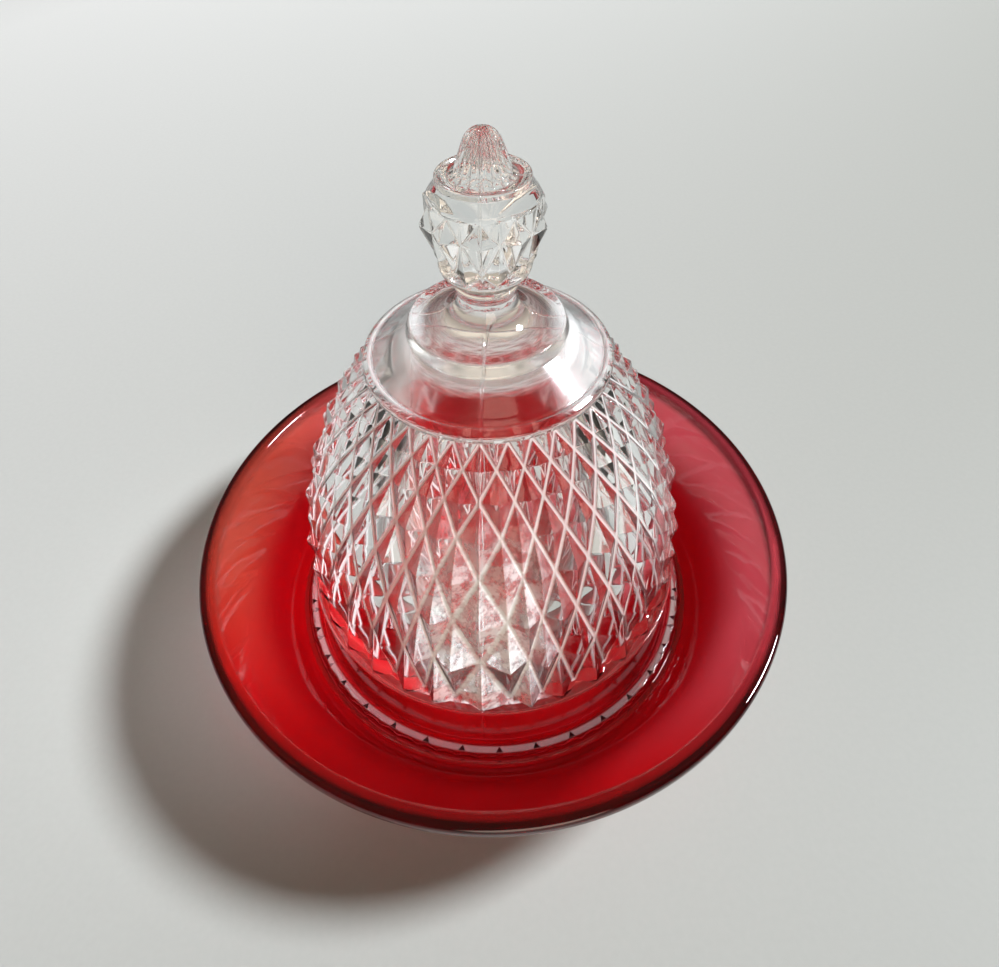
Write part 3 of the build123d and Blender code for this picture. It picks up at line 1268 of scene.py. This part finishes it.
@dataclass
class Lid:
    """The domed lid: plain band, bell with diamond relief, beaded crown, stepped shoulder and finial.

    Corners are radius, height and rounding. A bead's corners are counted from the point that the bead is on.
    """

    base_radius: float = 59.2
    base_rounding: float = 0.5
    band_top: Point = (58.2, 28.5)
    band_bead: tuple[Corner, ...] = (
        (-2.0, -0.35, 0), (-0.1, -0.35, 0.2), (0.1, 0.4, 0.2), (0.7, 0.3, 0.25), (0.7, -0.8, 0.25),
        (0.1, -1.1, 0.2),
    )
    wall: float = 5.6
    belt_height: float = 40.0
    crown: Point = (31.5, 110.5)
    crown_bead: tuple[Corner, ...] = (
        (32.3, 109.5, 0), (32.6, 111.2, 1.1), (30.4, 112.5, 0.9), (29.9, 111.9, 0.3), (29.3, 112.3, 0.3),
    )
    hollow_crown: Corner = (27.6, 104.4, 4.0)
    hollow_lip: Corner = (20.2, 113.8, 4.5)
    hollow_top: float = 115.6
    pole_ring: float = 1.0
    step: Corner = (20.5, 118.8, 1.2)
    disc: Corner = (19.7, 122.0, 0.9)
    disc_flat: float = 1.6
    neck: Point = (7.2, 130.8)
    neck_beads: tuple[Corner, ...] = (
        (0.05, 0.1, 0), (0.7, 0.5, 0.3), (0.7, 1.3, 0.3), (0.1, 1.6, 0.2), (0.1, 2.2, 0.2), (0.8, 2.6, 0.3),
    )
    ball_foot: tuple[Corner, ...] = ((8.6, 134.2, 0.4), (9.7, 134.9, 0.8), (10.9, 136.4, 1.0))
    ball_low: Point = (11.4, 138.0)
    ball_waist: Point = (14.9, 149.4)
    ball_arc: float = 10.9
    ball_top: tuple[Corner, ...] = ((12.9, 155.0, 0), (12.5, 155.8, 0.5), (10.7, 158.3, 0.4))
    cap_top: float = 159.8
    cap_bead: tuple[Corner, ...] = ((10.7, 0.0, 0.35), (9.8, 0.0, 0.3), (9.3, -0.6, 0.3))
    tip_radius: float = 6.8
    tip_sink: float = 0.4
    tip_start: float = 0.3
    tip_rings: int = 6
    dome: Point = (4.3, 167.0)
    dome_pole: float = 0.05
    flutes: int = 18
    flute_rings: int = 252
    seam_angle: float = math.radians(-94.5)
    # Clear pressed glass with a red film on the band: painted highlight lines between the diamonds, a painted
    # highlight on the front faces, a painted sheen and frost on the shoulder, and painted shade on grazing edges.
    finish: PressedGlass = field(default_factory=lambda: PressedGlass(
        name="clear_pressed_soda_lime_glass_with_ruby_band", stain="#FF1A2C", stain_below=27.5,
        stain_outside=56.0, passed_stained=0.82, wave_depth=0.04, valley_painted_highlight=0.97, front_painted_highlight=0.75,
        shoulder_painted_sheen=0.42, grazing_painted_shade=0.9, seam_angle=math.radians(-94.5),
    ))

    def bell(self) -> DiamondRelief:
        """Describes the diamonds of the bell, whose arc runs from the belt to the crown ring."""
        rise, run = self.crown[1] - self.belt_height, self.band_top[0] - self.crown[0]
        return DiamondRelief(
            columns=32, rows=7, first_row=20.5, row_ratio=0.827, depth=4.3, depth_ratio=0.91,
            waist_radius=self.band_top[0], waist_height=self.band_top[1], run_below=0.0, arc_below=50.0,
            belt=self.belt_height - self.band_top[1], arc_above=(rise**2 + run**2) / (2 * run),
            seam_angle=self.seam_angle, seam_stretch=0.58,
        )

    def ball(self) -> DiamondRelief:
        """Describes the long diamonds of the finial's ball."""
        rise, run = self.ball_waist[1] - self.ball_low[1], self.ball_waist[0] - self.ball_low[0]
        below = (rise**2 + run**2) / (2 * run)
        run_below = below * math.asin(rise / below)
        columns = 10
        return DiamondRelief(
            columns=columns, rows=2, first_row=run_below, row_ratio=0.47, depth=2.0, depth_ratio=0.85,
            waist_radius=self.ball_waist[0], waist_height=self.ball_waist[1], run_below=run_below,
            arc_below=below, belt=0.0, arc_above=self.ball_arc, seam_angle=self.seam_angle + math.pi / columns,
            seam_stretch=0.0, seams=2,
        )

    def inside(self, base: float) -> list[Point]:
        """Outlines the bead under the diamonds, the band, the base and the hollow.

        Args:
            base: Height of the lid's base.

        Returns:
            Radius and height of every ring, from the relief down and up to the top of the hollow.
        """
        inner = self.band_top[0] - self.wall
        outline = rounded([
            *((self.band_top[0] + out, self.band_top[1] + up, rounding) for out, up, rounding in self.band_bead),
            (self.base_radius, base, self.base_rounding),
            (self.base_radius - self.wall, base, self.base_rounding),
            (inner, self.band_top[1], 0),
        ])
        rise, run = self.hollow_crown[1] - self.belt_height, inner - self.hollow_crown[0]
        wide = (rise**2 + run**2) / (2 * run)
        outline += arc((inner - wide, self.belt_height), wide, 0.0, math.asin(rise / wide), 24)
        top = rounded([
            outline[-2] + (0,), self.hollow_crown, self.hollow_lip, (self.pole_ring, self.hollow_top, 0),
        ], 6)
        return outline[:-1] + top[1:]

    def shoulder(self) -> list[Point]:
        """Outlines the crown bead, the shoulder, the step, the flare, the neck and the ball's foot.

        Returns:
            Radius and height of every ring, upwards.
        """
        outline = rounded([
            *self.crown_bead, self.step, self.disc, (self.disc[0] - self.disc_flat, self.disc[1], 0),
        ])
        run, rise = outline[-1][0] - self.neck[0], self.neck[1] - self.disc[1]
        bow = (run**2 + rise**2) / (2 * run)
        end = math.pi + math.asin(rise / bow)
        if run > bow:
            end = 2 * math.pi - math.asin(rise / bow)
        outline += arc((self.neck[0] + bow, self.neck[1]), bow, end, math.pi, 14)[1:]
        outline += rounded([
            *((self.neck[0] + out, self.neck[1] + up, rounding) for out, up, rounding in self.neck_beads),
            *self.ball_foot, (self.ball_low[0] - 0.2, self.ball_low[1] - 0.2, 0),
        ], 2)
        return outline

    def cap(self) -> list[Point]:
        """Outlines the top of the ball and the flat rim above it, up to the foot of the tip."""
        return rounded([
            *self.ball_top,
            *((radius, self.cap_top + up, rounding) for radius, up, rounding in self.cap_bead),
            (self.tip_radius + 1.0, self.cap_top - self.tip_sink, self.tip_sink),
            (self.tip_radius, self.cap_top + self.tip_start, 0),
        ], 3)

    def tip(self, top: float) -> list[Point]:
        """Outlines the fluted tip and its domed top.

        Args:
            top: Height of the tip's top.

        Returns:
            Radius and height of every ring, up to the last before the pole.
        """
        foot = self.cap_top + self.tip_start
        run, rise = self.dome[0] - self.tip_radius, self.dome[1] - self.cap_top - self.tip_start
        outline = [
            (self.tip_radius + run * k / self.tip_rings, foot + rise * k / self.tip_rings)
            for k in range(self.tip_rings + 1)
        ]
        height = top - self.dome[1]
        wide = (self.dome[0] ** 2 + height**2) / (2 * height)
        lean = math.asin(self.dome[0] / wide) if height < wide else math.pi / 2
        outline += arc((0.0, top - wide), wide, math.pi / 2 - lean, math.pi / 2 - self.dome_pole, 8)[1:]
        return outline

    def build(
        self, base: float, top: float, relief_tree: bpy.types.NodeTree, ripple_tree: bpy.types.NodeTree
    ) -> bpy.types.Object:
        """Builds the lid as one closed shell.

        Args:
            base: Height of its base.
            top: Height of the tip's top.
            relief_tree: Geometry tree of the diamonds.
            ripple_tree: Geometry tree of lobes and flutes.

        Returns:
            The finished piece.
        """
        glass = self.finish.material()
        shell = TurnedShell()
        low, high = shell.insert(self.bell().mesh("bell_relief", relief_tree, glass))
        shell.pole(shell.run(low, self.inside(base)), self.hollow_top)
        neck = shell.run(high, self.shoulder())
        ball_low, ball_high = shell.insert(self.ball().mesh("ball_relief", relief_tree, glass))
        shell.stitch(neck, ball_low)
        rim = shell.run(ball_high, self.cap())
        shell.pole(shell.run(rim, self.tip(top), self.flute_rings), top)
        flutes = Ripple(
            count=self.flutes, depth=-1.1, low=159.6, high=169.9, blend=0.6, inside=0.0, outside=7.4,
            angle=self.seam_angle,
        )
        return finish_piece(
            shell.mesh("lid_glass"), "lid_glass", glass, [flutes], ripple_tree, Body.LID, Slot.CLEAR
        )


# ---------------------------------------------------------------- stage, light and camera


@dataclass
class Studio:
    """The table, the soft light and the camera. The table, the lamp's size and its reach are in metres."""

    table_size: float = 8.0
    lamp_power: float = 350.0
    lamp_size: float = 1.05
    lamp_colour: str = "#F4F9FF"
    lamp_reach: float = 4.5
    lamp_azimuth: float = math.radians(9)
    lamp_height: float = math.radians(44)
    room_level: float = 0.05
    room_mirrored: float = 0.12
    room_shown: float = 0.95
    backdrop: str = "#D4D5D0"
    bounced: str = "#FFB468"
    daylight: str = "#FFEBD8"
    skylight: float = 3.9
    skylight_way: tuple[float, float, float] = (0.15, -0.955, 0.26)
    ceiling: str = "#FFF1DE"
    pale_wall: str = "#BDB2A4"
    dark_wall: str = "#201E1D"
    wall_beside: Point = (0.5, 0.25)
    wall_up_to: Point = (0.3, 0.5)
    ceiling_from: Point = (0.45, 0.75)
    skylight_edge: Point = (0.93, 0.96)
    camera_back: float = 150.0
    camera_height: float = 233.9
    pitch: float = math.radians(43.26)
    yaw: float = math.radians(1.06)
    roll: float = math.radians(-0.91)
    lens: float = 26.92
    shift: float = -0.0836
    table: TableTop = field(default_factory=TableTop)

    def lay_table(self) -> bpy.types.Object:
        """Lays the pale table top under the object."""
        bm = bmesh.new()
        bmesh.ops.create_grid(bm, x_segments=8, y_segments=8, size=self.table_size / 2)
        mesh = bpy.data.meshes.new("table_top")
        bm.to_mesh(mesh)
        bm.free()
        mesh.materials.append(self.table.material())
        top = bpy.data.objects.new("table_top", mesh)
        bpy.context.scene.collection.objects.link(top)
        return top

    def light(self) -> None:
        """Hangs one large soft lamp and sets a room that is pale above and darker towards its walls."""
        lamp = bpy.data.lights.new("soft_lamp", "AREA")
        lamp.shape = "DISK"
        lamp.size = self.lamp_size
        lamp.energy = self.lamp_power
        lamp.color = hex_linear(self.lamp_colour)[:3]
        holder = bpy.data.objects.new("soft_lamp", lamp)
        away = Vector((
            math.cos(self.lamp_height) * math.cos(self.lamp_azimuth),
            math.cos(self.lamp_height) * math.sin(self.lamp_azimuth),
            math.sin(self.lamp_height),
        ))
        holder.location = away * self.lamp_reach
        holder.rotation_euler = away.to_track_quat("Z", "Y").to_euler()
        bpy.context.scene.collection.objects.link(holder)
        world = bpy.data.worlds.new("room")
        bpy.context.scene.world = world
        world.use_nodes = True
        tree = world.node_tree
        tree.nodes.clear()
        way = add_node(tree, "ShaderNodeTexCoord").outputs["Generated"]
        across, _, up = add_node(tree, "ShaderNodeSeparateXYZ", way).outputs
        aside = add_node(tree, "ShaderNodeMath", across, operation="ABSOLUTE")
        walls = add_node(tree, "ShaderNodeMapRange", aside, *self.wall_beside, interpolation_type="SMOOTHSTEP")
        rise = add_node(tree, "ShaderNodeMapRange", up, *self.wall_up_to, interpolation_type="SMOOTHSTEP")
        lit = add_node(tree, "ShaderNodeMath", walls, rise, operation="MAXIMUM")
        low = add_node(
            tree, "ShaderNodeMix", data_type="RGBA",
            sockets={0: lit, 6: hex_linear(self.dark_wall), 7: hex_linear(self.pale_wall)},
        ).outputs[2]
        above = add_node(tree, "ShaderNodeMapRange", up, *self.ceiling_from, interpolation_type="SMOOTHSTEP")
        room = add_node(
            tree, "ShaderNodeMix", data_type="RGBA", sockets={0: above, 6: low, 7: hex_linear(self.ceiling)}
        ).outputs[2]
        path = add_node(tree, "ShaderNodeLightPath").outputs
        level = add_node(
            tree, "ShaderNodeMapRange", path["Is Glossy Ray"], 0.0, 1.0, self.room_level, self.room_mirrored
        )
        level = add_node(tree, "ShaderNodeMapRange", path["Is Transmission Ray"], 0.0, 1.0, level, self.room_shown)
        toward = add_node(tree, "ShaderNodeVectorMath", way, self.skylight_way, operation="DOT_PRODUCT")
        window = add_node(
            tree, "ShaderNodeMapRange", toward.outputs["Value"], *self.skylight_edge,
            interpolation_type="SMOOTHSTEP",
        )
        patch = add_node(tree, "ShaderNodeMapRange", window, 0.0, 1.0, level, self.skylight)
        strength = add_node(tree, "ShaderNodeMapRange", path["Is Camera Ray"], 0.0, 1.0, patch, 1.0)
        clear = add_node(
            tree, "ShaderNodeMath", path["Is Glossy Ray"], path["Is Transmission Ray"], operation="MAXIMUM"
        )
        lighting = add_node(
            tree, "ShaderNodeMix", data_type="RGBA", sockets={0: clear, 6: hex_linear(self.bounced), 7: room}
        ).outputs[2]
        lighting = add_node(
            tree, "ShaderNodeMix", data_type="RGBA", sockets={0: window, 6: lighting, 7: hex_linear(self.daylight)}
        ).outputs[2]
        seen = add_node(
            tree, "ShaderNodeMix", data_type="RGBA",
            sockets={0: path["Is Camera Ray"], 6: lighting, 7: hex_linear(self.backdrop)},
        ).outputs[2]
        back = add_node(tree, "ShaderNodeBackground", seen, strength)
        add_node(tree, "ShaderNodeOutputWorld", back)

    def place_camera(self) -> None:
        """Sets the camera in front of the dish, looking down at it."""
        ahead = Vector((
            math.sin(self.yaw) * math.cos(self.pitch), math.cos(self.yaw) * math.cos(self.pitch),
            -math.sin(self.pitch),
        ))
        right = Vector((math.cos(self.yaw), -math.sin(self.yaw), 0.0))
        up = right.cross(ahead)
        side = right * math.cos(self.roll) + up * math.sin(self.roll)
        top = up * math.cos(self.roll) - right * math.sin(self.roll)
        turn = Matrix((side, top, -ahead)).transposed().to_4x4()
        data = bpy.data.cameras.new("camera")
        data.lens = self.lens
        data.shift_y = self.shift
        data.clip_start = 0.01
        holder = bpy.data.objects.new("camera", data)
        holder.matrix_world = Matrix.Translation((0.0, -self.camera_back * MM, self.camera_height * MM)) @ turn
        bpy.context.scene.collection.objects.link(holder)
        bpy.context.scene.camera = holder

    def settings(self) -> None:
        """Sets plain colour handling and enough bounces for light to pass both walls of the glass."""
        scene = bpy.context.scene
        scene.view_settings.view_transform = "Standard"
        scene.cycles.max_bounces = 24
        scene.cycles.transmission_bounces = 24
        scene.cycles.glossy_bounces = 12
        scene.cycles.diffuse_bounces = 3
        scene.cycles.sample_clamp_indirect = 2.0
        scene.cycles.use_denoising = True


def main() -> None:
    """Builds the dish and its stage in order."""
    logging.basicConfig(level=logging.INFO, format="%(message)s")
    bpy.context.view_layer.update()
    studio = Studio()
    studio.settings()
    studio.place_camera()
    studio.light()
    studio.lay_table()
    relief_tree = DiamondRelief.tree()
    ripple_tree = Ripple.tree()
    _, plate_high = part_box("plate")
    Plate().build((plate_high.x / MM, plate_high.z / MM), ripple_tree)
    lid_low, lid_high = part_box("lid")
    Lid().build(lid_low.z / MM, lid_high.z / MM, relief_tree, ripple_tree)
    bpy.context.view_layer.update()
    LOG.info("sizes written")


if __name__ == "__main__":
    main()
